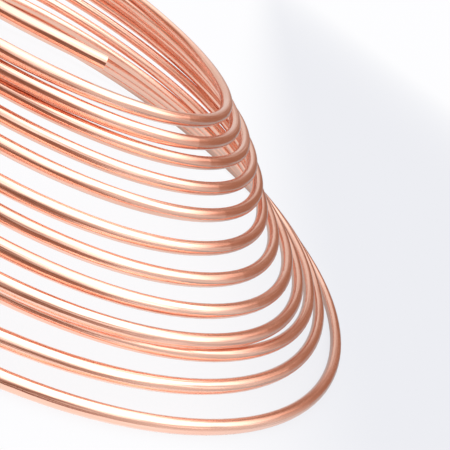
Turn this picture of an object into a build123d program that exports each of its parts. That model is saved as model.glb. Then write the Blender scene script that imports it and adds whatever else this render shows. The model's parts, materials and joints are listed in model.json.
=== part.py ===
"""An open coil of soft copper tube, standing on its end with its turns drawn out to one side.

Millimetres, +Z up, +X to the right, -Y to the front. The tube's middle line is worked out turn by
turn, and the tube is swept along it as a chain of short arcs that meet smoothly, so every stretch
is a true round bend.
"""
import math
import os

from build123d import *

# The tube, as it is sold: 6 mm outside, 1 mm wall, in a 10 m length.
outside_diameter = 6.0
wall = 1.0

# The coil. Turns are counted from the top one, and a whole number is the front of a turn.
top_radius = 106.0
growth_per_turn = 3.2            # each turn is this much wider than the one above,
grows_to = 3                     # down to this turn,
opens_from = 6                   # and below this one the turns have sprung open,
first_opening = 4.4              # the first of them by this much and each lower one by more
# How far the front and the right side of each turn lie beyond those of the turn above.
front_gaps = (15.5, -2.5, -3.5, 4.5, 5, 11, 4, 6.5, 8, -3.5, 13.5, 5.5, 11)
right_gaps = (13, 8, 9, 9.5, 9, 10, 12.5, 12.5, 10.5, 10, 11.5, 19.5, 18.5)
fall_per_turn = outside_diameter * 1.04     # the turns rest on each other where they cross
flat_from = 11.625               # from here on the bottom turn lies flat on the floor,
drops_from = 11.25               # and from here the tube comes down to it

# The cut ends are straight. The top one springs up and outward, and the lower one outward along
# the floor.
straight_end = 20.0
top_end = -0.09
top_spring_from = 0.05
top_spring_up = 2.0
top_spring_out = 6.5
lower_end = 12.25
lower_spring_from = 12.0
lower_spring_out = 15.0

eighth = 1 / 8                   # the arcs meet at every eighth of a turn and halfway between


def running_sum(gaps):
    total = [0.0]
    for gap in gaps:
        total.append(total[-1] + gap)
    return total


front_sides = running_sum(front_gaps)
right_sides = running_sum(right_gaps)
turn_radii = [
    top_radius + growth_per_turn * min(k, grows_to) + first_opening * max(k - opens_from, 0) ** 1.5
    for k in range(len(front_sides))
]


def eased(values, t):
    """A smooth line through values that belong to whole turns."""
    i = min(max(math.floor(t), 0), len(values) - 2)
    here, after = values[i], values[i + 1]
    before = values[i - 1] if i > 0 else 2 * here - after
    beyond = values[i + 2] if i + 2 < len(values) else 2 * after - here
    u = t - i
    start_slope = (after - before) / 2
    end_slope = (beyond - here) / 2
    square = 3 * (after - here) - 2 * start_slope - end_slope
    cube = 2 * (here - after) + start_slope + end_slope
    return here + u * (start_slope + u * (square + u * cube))


def sprung(t, start, end):
    """0 up to the start of a loose end, rising to 1 at its cut."""
    return max((t - start) / (end - start), 0) ** 2


def height(t):
    """Height of the middle line above the floor."""
    drop = flat_from - drops_from
    if t >= flat_from:
        turns_up = 0
    elif t <= drops_from:
        turns_up = drops_from + 1 - t
    else:
        u = (flat_from - t) / drop
        turns_up = u ** 2 * (3 - drop) + u ** 3 * (drop - 2)
    rise = top_spring_up * sprung(t, top_spring_from, top_end)
    return outside_diameter / 2 + fall_per_turn * turns_up + rise


def loose_place(t):
    """The middle line t turns down from the top, measured from where the front and right gaps start."""
    radius = eased(turn_radii, t)
    across = eased(right_sides, t) - radius
    forward = eased(front_sides, t) - radius
    angle = 2 * math.pi * t
    outward = (top_spring_out * sprung(t, top_spring_from, top_end)
               + lower_spring_out * sprung(t, lower_spring_from, lower_end))
    reach = radius + outward
    return Vector(across - reach * math.sin(angle), -forward - reach * math.cos(angle), height(t))


def heading(t):
    return (loose_place(t + 0.0005) - loose_place(t - 0.0005)).normalized()


def middle_of(values):
    return (min(values) + max(values)) / 2


samples = [loose_place(top_end + (lower_end - top_end) * i / 4000) for i in range(4001)]
samples.append(samples[0] - heading(top_end) * straight_end)
samples.append(samples[4000] + heading(lower_end) * straight_end)
centre = Vector(middle_of([p.X for p in samples]), middle_of([p.Y for p in samples]), 0)


def place(t):
    """The same point with the whole coil centred over the origin."""
    return loose_place(t) - centre


def two_arcs(start, finish, leaving, arriving):
    """Two arcs from start to finish that meet smoothly and keep the directions given at the ends."""
    chord = finish - start
    turn = 1 - leaving.dot(arriving)
    along = chord.dot(leaving + arriving)
    reach = (math.sqrt(along ** 2 + 2 * turn * chord.dot(chord)) - along) / (2 * turn)
    joint = (start + finish + (leaving - arriving) * reach) * 0.5
    TangentArc(start, joint, tangent=leaving)
    TangentArc(joint, finish, tangent=(finish - arriving * reach - joint).normalized())


between = [i * eighth for i in range(math.ceil(top_end / eighth), math.floor(lower_end / eighth) + 1)]
between = [t for t in between if top_end + eighth / 4 < t < lower_end - eighth / 4]
stops = [top_end, *between, lower_end]
first, last = stops[0], stops[-1]

with BuildPart() as copper_tube:
    with BuildLine() as route:
        Line(place(first) - heading(first) * straight_end, place(first))
        for a, b in zip(stops, stops[1:]):
            two_arcs(place(a), place(b), heading(a), heading(b))
        Line(place(last), place(last) + heading(last) * straight_end)
    middle_line = route.wires()[0]
    with BuildSketch(Plane(origin=middle_line @ 0, z_dir=middle_line % 0)):
        Circle(outside_diameter / 2)
        Circle(outside_diameter / 2 - wall, mode=Mode.SUBTRACT)
    sweep(path=middle_line)

print("length", middle_line.length, "volume", copper_tube.part.volume)
print("box", copper_tube.part.bounding_box())
print("top", place(first) - heading(first) * straight_end, heading(first) * -1)
print("lower", place(last) + heading(last) * straight_end, heading(last))

os.makedirs("parts", exist_ok=True)
copper_tube.part.label = "copper_tube"
export_step(copper_tube.part, "parts/copper_tube.step")
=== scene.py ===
"""Finish, floor, light and camera for the copper tube coil. Metres, +Z up, -Y to the front."""
import json
import math

import bpy
from mathutils import Matrix

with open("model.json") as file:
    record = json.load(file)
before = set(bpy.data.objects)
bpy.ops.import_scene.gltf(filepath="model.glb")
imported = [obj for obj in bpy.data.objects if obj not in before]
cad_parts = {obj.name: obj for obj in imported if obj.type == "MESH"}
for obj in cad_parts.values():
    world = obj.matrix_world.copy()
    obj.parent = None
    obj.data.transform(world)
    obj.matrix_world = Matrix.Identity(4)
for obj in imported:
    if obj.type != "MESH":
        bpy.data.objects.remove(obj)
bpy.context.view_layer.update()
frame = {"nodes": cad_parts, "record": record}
coil = frame["nodes"]["copper_tube"]
tube_ends = [mount["pos_m"] for mount in frame["record"]["mounts"]]

# Camera, set to the photo's close, tilted view of the front of the coil.
LENS = 55.17                        # millimetres
SENSOR_WIDTH = 36                   # millimetres
CAMERA_PLACE = (0.1004, -0.3343, 0.1535)
LOOKS_DOWN = math.radians(20.93)
CAMERA_TILT = math.radians(36.23)
NEAREST_SEEN = 0.01

# Linear colours of the finish.
BRIGHT_COPPER = (0.97, 0.62, 0.49, 1)
DULL_COPPER = (0.90, 0.51, 0.385, 1)

# The patterns in the finish: scale, detail and, for some, roughness of each noise.
FINE_LINES = (4.5, 3.0, 0.6)
BROAD_LINES = (2.2, 1.0)
PATCHES = (28.0, 3.0)
SPECKS = (900.0, 2.0, 0.7)
NOISE_MIDDLE = 0.5
# What they do: between which two levels of the noise, and from how much to how much.
BROAD_LINES_DULL = (0.42, 0.62, 0.0, 0.55)
PATCHES_DULL = (0.45, 0.70, 0.0, 0.45)
FINE_LINES_ROUGHEN = (0.35, 0.65, 0.10, 0.20)
SPECKS_ROUGHEN = (0.50, 0.75, 0.0, 0.08)
LINE_TILT = 0.9                     # how far the fine lines tilt the surface
LINE_DRIFT = (5, 5, 60)             # per metre: each turn of the coil gets lines of its own
COIL_MIDDLE = (-0.01, -0.01, 0)     # roughly the middle of the turns

# The mesh's shading has faint seams, which are smoothed over this reach. Near the tube's two ends
# they are left, and so is the cut's sharp rim.
SEAM_REACH = 0.001
SHARP_NEAR_END = (0.004, 0.007)     # sharp inside the first, smoothed beyond the second
SEAM_SAMPLES = 6

# Floor. Seen directly it is white, with painted shade that turns it grey to the right of the coil, beyond a
# slanting line.
WHITE = (0.985, 0.985, 1.0, 1)
PAINTED_SHADE_GREY = (0.847, 0.855, 0.896, 1)
FLOOR_WIDTH = 60
FLOOR_HEIGHT = -0.0004
SHADE_SLANT = 0.2                    # to the left, per metre back
SHADE_ACROSS = (0.09, 0.22)         # white left of the first, grey right of the second
SHADE_REACH = (0.8, 3.6)             # grey inside the first, gone beyond the second
# Seen or mirrored, so much of it glows by itself near the coil and far from it. The rest is lit and
# takes the shadow.
NEAR_AND_FAR = (0.3, 1.2)
GLOWING_SHARE = (0.9, 1.0)
# Painted reflection: how bright the tube mirrors it inside the coil, behind it, where it is a painted shade,
# and in front of it, where it is painted light.
MIRRORED_INSIDE = 0.90
MIRRORED_SHADE_BEHIND = 0.50
MIRRORED_GLOW_IN_FRONT = 1.2
BEHIND_STARTS = (0.08, 0.20)        # to the right and back: X and Y added up
FRONT_STARTS = (-0.07, -0.16)       # along Y
# Painted dark reflection: the mirrored floor ends a little in front of the coil, where it turns dark over a
# short stretch.
FLOOR_EDGE = -0.190
EDGE_WIDTH = 0.02
PAINTED_DARK_REFLECTION = (0.28, 0.11, 0.06, 1)

# The studio round the coil, as the bright tube mirrors it: a wide soft light overhead, more to the
# back and right, over dim walls that are dark in three places.
STUDIO_RADIUS = 3.0
STUDIO_ROWS = 12
STUDIO_SIDES = 48
LIGHT_MIDDLE = (0.60, 0.28)         # sideways and back, per metre up
LIGHT_REACH = (0.30, 1.5)           # full inside the first, gone beyond the second
LIGHT_LEVEL = 2.6
WALL_LEVELS = (0.80, 1.2)           # low down and high up
WALL_BRIGHTENS = (math.radians(20), math.radians(70))   # the elevations between which they change
# Each dark place: its azimuth, turning from the back to the right, its reach, the share of the light
# left in it, and the two elevations between which it fades. All angles are in degrees.
DARK_PLACES = ((25, 45, 0.46, 24, 50), (170, 64, 0.26, 7, 38), (-112, 40, 0.5, 22, 52))
DARK_CORE = 0.3                     # share of its reach in which a place is fully dark
DARK_WALL = (1.0, 0.54, 0.38, 1)
PLAIN_WALL = (1.0, 0.98, 0.98, 1)

# What lights the floor. Together they show a colour about as it is written.
SURROUNDINGS_AS_LIGHT = 0.6
LAMP_LEVEL = 0.55
LAMP_WIDTH = 3.2
LAMP_HEIGHT = 1.0


class Nodes:
    """A short way to add shader nodes and join them."""

    def __init__(self, tree):
        self.tree = tree
        tree.nodes.clear()

    def put(self, value, socket):
        """Joins a node's output to the socket, or sets a constant on it."""
        if isinstance(value, bpy.types.NodeSocket):
            self.tree.links.new(value, socket)
        else:
            socket.default_value = value

    def add(self, kind, inputs=None, **settings):
        node = self.tree.nodes.new(kind)
        for name, value in settings.items():
            setattr(node, name, value)
        for name, value in (inputs or {}).items():
            self.put(value, node.inputs[name])
        return node

    def math(self, operation, a, b=0.0):
        return self.add("ShaderNodeMath", {0: a, 1: b}, operation=operation).outputs[0]

    def length(self, x, y):
        return self.math("SQRT", self.math("ADD", self.math("MULTIPLY", x, x), self.math("MULTIPLY", y, y)))

    def vector(self, operation, a, b=(0, 0, 0)):
        """The vector that the operation gives, or its number if it gives one."""
        node = self.add("ShaderNodeVectorMath", {0: a, 1: b}, operation=operation)
        gives_number = operation in ("DOT_PRODUCT", "DISTANCE", "LENGTH")
        return node.outputs["Value" if gives_number else "Vector"]

    def parts(self, vector):
        return self.add("ShaderNodeSeparateXYZ", {0: vector}).outputs

    def scaled(self, vector, factor):
        return self.add("ShaderNodeVectorMath", {0: vector, "Scale": factor}, operation="SCALE").outputs[0]

    def ranged(self, value, low, high, to_low, to_high, **settings):
        """value from low..high brought to to_low..to_high, and kept inside."""
        inputs = {"Value": value, "From Min": low, "From Max": high, "To Min": to_low, "To Max": to_high}
        return self.add("ShaderNodeMapRange", inputs, **settings).outputs[0]

    def smooth(self, value, low, high, to_low=0.0, to_high=1.0):
        """As ranged, with a soft start and end."""
        return self.ranged(value, low, high, to_low, to_high, interpolation_type="SMOOTHSTEP")

    def noise(self, vector, scale, detail=2.0, roughness=0.5):
        inputs = {"Vector": vector, "Scale": scale, "Detail": detail, "Roughness": roughness}
        return self.add("ShaderNodeTexNoise", inputs).outputs["Fac"]

    def mix(self, factor, a, b):
        node = self.add("ShaderNodeMix", data_type="RGBA")
        for name, value in (("Factor", factor), ("A", a), ("B", b)):
            self.put(value, next(s for s in node.inputs if s.name == name and s.enabled))
        return next(s for s in node.outputs if s.enabled)


def new_material(name):
    material = bpy.data.materials.new(name)
    material.use_nodes = True
    return material, Nodes(material.node_tree)


def add_object(name, data):
    item = bpy.data.objects.new(name, data)
    bpy.context.scene.collection.objects.link(item)
    return item


def section_of(n, spot):
    """Where a point of the tube is round its section, and which way the section turns there.

    The tube lies almost level all along, so the outward and upward slope of its surface say where
    round the section a point is.
    """
    up_slope = n.parts(spot["Normal"])["Z"]
    from_middle = n.vector("SUBTRACT", spot["Object"], COIL_MIDDLE)
    outward = n.vector("NORMALIZE", n.vector("MULTIPLY", from_middle, (1, 1, 0)))
    out_slope = n.vector("DOT_PRODUCT", spot["Normal"], outward)
    section = n.add("ShaderNodeCombineXYZ", {"X": out_slope, "Y": up_slope}).outputs[0]
    rising = n.add("ShaderNodeCombineXYZ", {"Z": out_slope}).outputs[0]
    return section, n.vector("SUBTRACT", rising, n.scaled(outward, up_slope))


def copper():
    """Polished copper with the fine lengthwise lines of the draw, which tilt its surface a little."""
    material, n = new_material("polished_copper")
    spot = n.add("ShaderNodeTexCoord").outputs
    section, turning = section_of(n, spot)
    lines = n.vector("ADD", section, n.vector("MULTIPLY", spot["Object"], LINE_DRIFT))
    fine_lines = n.noise(lines, *FINE_LINES)
    broad_lines = n.noise(lines, *BROAD_LINES)
    patches = n.noise(spot["Object"], *PATCHES)
    specks = n.noise(spot["Object"], *SPECKS)

    dulled = n.math("ADD", n.ranged(broad_lines, *BROAD_LINES_DULL), n.ranged(patches, *PATCHES_DULL))
    colour = n.mix(dulled, BRIGHT_COPPER, DULL_COPPER)
    rough = n.math("ADD", n.ranged(fine_lines, *FINE_LINES_ROUGHEN), n.ranged(specks, *SPECKS_ROUGHEN))

    tilt = n.math("MULTIPLY", n.math("SUBTRACT", fine_lines, NOISE_MIDDLE), LINE_TILT)
    from_ends = [n.vector("DISTANCE", spot["Object"], end) for end in tube_ends]
    seam_reach = n.smooth(n.math("MINIMUM", *from_ends), *SHARP_NEAR_END, 0.0, SEAM_REACH)
    smoothed = n.add("ShaderNodeBevel", {"Radius": seam_reach}, samples=SEAM_SAMPLES).outputs[0]
    normal = n.vector("NORMALIZE", n.vector("ADD", smoothed, n.scaled(turning, tilt)))

    shader = n.add("ShaderNodeBsdfPrincipled", {"Base Color": colour, "Metallic": 1.0, "Roughness": rough,
                                                "Normal": normal})
    n.add("ShaderNodeOutputMaterial", {"Surface": shader.outputs[0]})
    return material


def seen_directly_or_mirrored(n):
    """1 for camera, glossy and transmission rays, and 0 for the rays that light the object."""
    path = n.add("ShaderNodeLightPath").outputs
    seen = n.math("MAXIMUM", path["Is Camera Ray"], path["Is Glossy Ray"])
    return n.math("MAXIMUM", seen, path["Is Transmission Ray"])


def pale_floor():
    material, n = new_material("pale_floor")
    place = n.add("ShaderNodeTexCoord").outputs["Object"]
    x, y = n.parts(place)[:2]
    away = n.vector("LENGTH", place)
    # Painted shade: grey to the right of a slanting line, fading out far from the coil.
    shade_to_right = n.smooth(n.math("ADD", x, n.math("MULTIPLY", y, SHADE_SLANT)), *SHADE_ACROSS)
    shade_not_far = n.smooth(away, *reversed(SHADE_REACH))
    colour = n.mix(n.math("MULTIPLY", shade_to_right, shade_not_far), WHITE, PAINTED_SHADE_GREY)

    direct = n.add("ShaderNodeLightPath").outputs["Is Camera Ray"]
    mirrored = n.math("SUBTRACT", 1.0, direct)
    # Painted reflection: mirror rays see the floor glow darker behind the coil, as painted shade, and
    # brighter than white in front, as painted light.
    level = n.smooth(n.math("ADD", x, y), *BEHIND_STARTS, MIRRORED_INSIDE, MIRRORED_SHADE_BEHIND)
    level = n.smooth(y, *FRONT_STARTS, level, MIRRORED_GLOW_IN_FRONT)
    strength = n.math("ADD", direct, n.math("MULTIPLY", level, mirrored))
    # Painted dark reflection: beyond the edge the tube mirrors a dark brown, which the camera never sees.
    beyond = n.math("MULTIPLY", mirrored, n.smooth(y, FLOOR_EDGE, FLOOR_EDGE - EDGE_WIDTH))
    glow = n.add("ShaderNodeEmission", {"Color": n.mix(beyond, colour, PAINTED_DARK_REFLECTION), "Strength": strength})
    lit = n.add("ShaderNodeBsdfDiffuse", {"Color": colour})
    share = n.math("MULTIPLY", seen_directly_or_mirrored(n), n.smooth(away, *NEAR_AND_FAR, *GLOWING_SHARE))
    mixed = n.add("ShaderNodeMixShader", {0: share, 1: lit.outputs[0], 2: glow.outputs[0]})
    n.add("ShaderNodeOutputMaterial", {"Surface": mixed.outputs[0]})
    return material


def floor():
    """A wide pale floor. It keeps the coil's shadow, and painted shade greys it gently to the right."""
    bpy.ops.mesh.primitive_plane_add(size=FLOOR_WIDTH, location=(0, 0, FLOOR_HEIGHT))
    plane = bpy.context.object
    plane.name = "floor"
    plane.data.materials.append(pale_floor())


def surroundings():
    """What is round the floor: white when seen or mirrored, softer as a light."""
    world = bpy.data.worlds.new("studio")
    bpy.context.scene.world = world
    world.use_nodes = True
    n = Nodes(world.node_tree)
    strength = n.ranged(seen_directly_or_mirrored(n), 0.0, 1.0, SURROUNDINGS_AS_LIGHT, 1.0)
    back = n.add("ShaderNodeBackground", {"Color": WHITE, "Strength": strength})
    n.add("ShaderNodeOutputWorld", {"Surface": back.outputs[0]})


def overhead_lamp():
    """A wide flat lamp over the coil. It isn't mirrored: the studio's own light stands in for it."""
    data = bpy.data.lights.new("overhead", "AREA")
    data.size = LAMP_WIDTH
    data.energy = LAMP_LEVEL * math.pi * LAMP_WIDTH ** 2
    lamp = add_object("overhead", data)
    lamp.location = (0, 0, LAMP_HEIGHT)
    lamp.visible_camera = False
    lamp.visible_glossy = False


def half_sphere():
    """The corners and faces of the studio's dome, from its top down to the floor."""
    corners = [(0, 0, STUDIO_RADIUS)]
    for row in range(1, STUDIO_ROWS + 1):
        down = math.pi / 2 * row / STUDIO_ROWS
        out = STUDIO_RADIUS * math.sin(down)
        height = STUDIO_RADIUS * math.cos(down)
        azimuths = [2 * math.pi * side / STUDIO_SIDES for side in range(STUDIO_SIDES)]
        corners += [(out * math.sin(a), out * math.cos(a), height) for a in azimuths]
    neighbours = [(side, (side + 1) % STUDIO_SIDES) for side in range(STUDIO_SIDES)]
    faces = [(0, 1 + k, 1 + following) for k, following in neighbours]
    for row in range(1, STUDIO_ROWS):
        above = 1 + (row - 1) * STUDIO_SIDES
        below = above + STUDIO_SIDES
        faces += [(above + k, below + k, below + following, above + following) for k, following in neighbours]
    return corners, faces


def studio_walls():
    material, n = new_material("studio_walls")
    x, y, z = n.parts(n.add("ShaderNodeTexCoord").outputs["Object"])
    out = n.length(x, y)
    up = n.math("ARCTAN2", z, out)
    walls = n.smooth(up, *WALL_BRIGHTENS, *WALL_LEVELS)
    sideways = n.math("SUBTRACT", n.math("DIVIDE", x, z), LIGHT_MIDDLE[0])
    back = n.math("SUBTRACT", n.math("DIVIDE", y, z), LIGHT_MIDDLE[1])
    light = n.smooth(n.length(sideways, back), *reversed(LIGHT_REACH))
    level = n.math("ADD", n.math("MULTIPLY", walls, n.math("SUBTRACT", 1.0, light)),
                   n.math("MULTIPLY", light, LIGHT_LEVEL))
    plain = 1.0
    for azimuth, reach, left, fades_from, fades_to in DARK_PLACES:
        a = math.radians(azimuth)
        toward = n.math("ADD", n.math("MULTIPLY", x, math.sin(a)), n.math("MULTIPLY", y, math.cos(a)))
        aside = n.math("ARCCOSINE", n.math("DIVIDE", toward, out))
        across = n.smooth(aside, math.radians(reach), math.radians(reach * DARK_CORE))
        upward = n.smooth(up, math.radians(fades_to), math.radians(fades_from))
        dark = n.math("MULTIPLY", across, upward)
        level = n.math("MULTIPLY", level, n.ranged(dark, 0.0, 1.0, 1.0, left))
        plain = n.math("MULTIPLY", plain, n.math("SUBTRACT", 1.0, dark))
    glow = n.add("ShaderNodeEmission", {"Color": n.mix(plain, DARK_WALL, PLAIN_WALL), "Strength": level})
    n.add("ShaderNodeOutputMaterial", {"Surface": glow.outputs[0]})
    return material


def studio():
    """A dome over the coil that only the polished tube mirrors."""
    corners, faces = half_sphere()
    mesh = bpy.data.meshes.new("studio")
    mesh.from_pydata(corners, [], faces)
    mesh.materials.append(studio_walls())
    dome = add_object("studio", mesh)
    for ray in ("camera", "diffuse", "transmission", "volume_scatter", "shadow"):
        setattr(dome, "visible_" + ray, False)


def camera():
    data = bpy.data.cameras.new("photo_view")
    data.sensor_width = SENSOR_WIDTH
    data.lens = LENS
    data.clip_start = NEAREST_SEEN
    view = add_object("photo_view", data)
    turned = Matrix.Rotation(math.pi / 2 - LOOKS_DOWN, 4, "X") @ Matrix.Rotation(CAMERA_TILT, 4, "Z")
    view.matrix_world = Matrix.Translation(CAMERA_PLACE) @ turned
    bpy.context.scene.camera = view


def dress(node, material):
    node.data.materials.clear()
    node.data.materials.append(material)


camera()
dress(coil, copper())
floor()
surroundings()
overhead_lamp()
studio()
bpy.context.scene.view_settings.view_transform = "Standard"
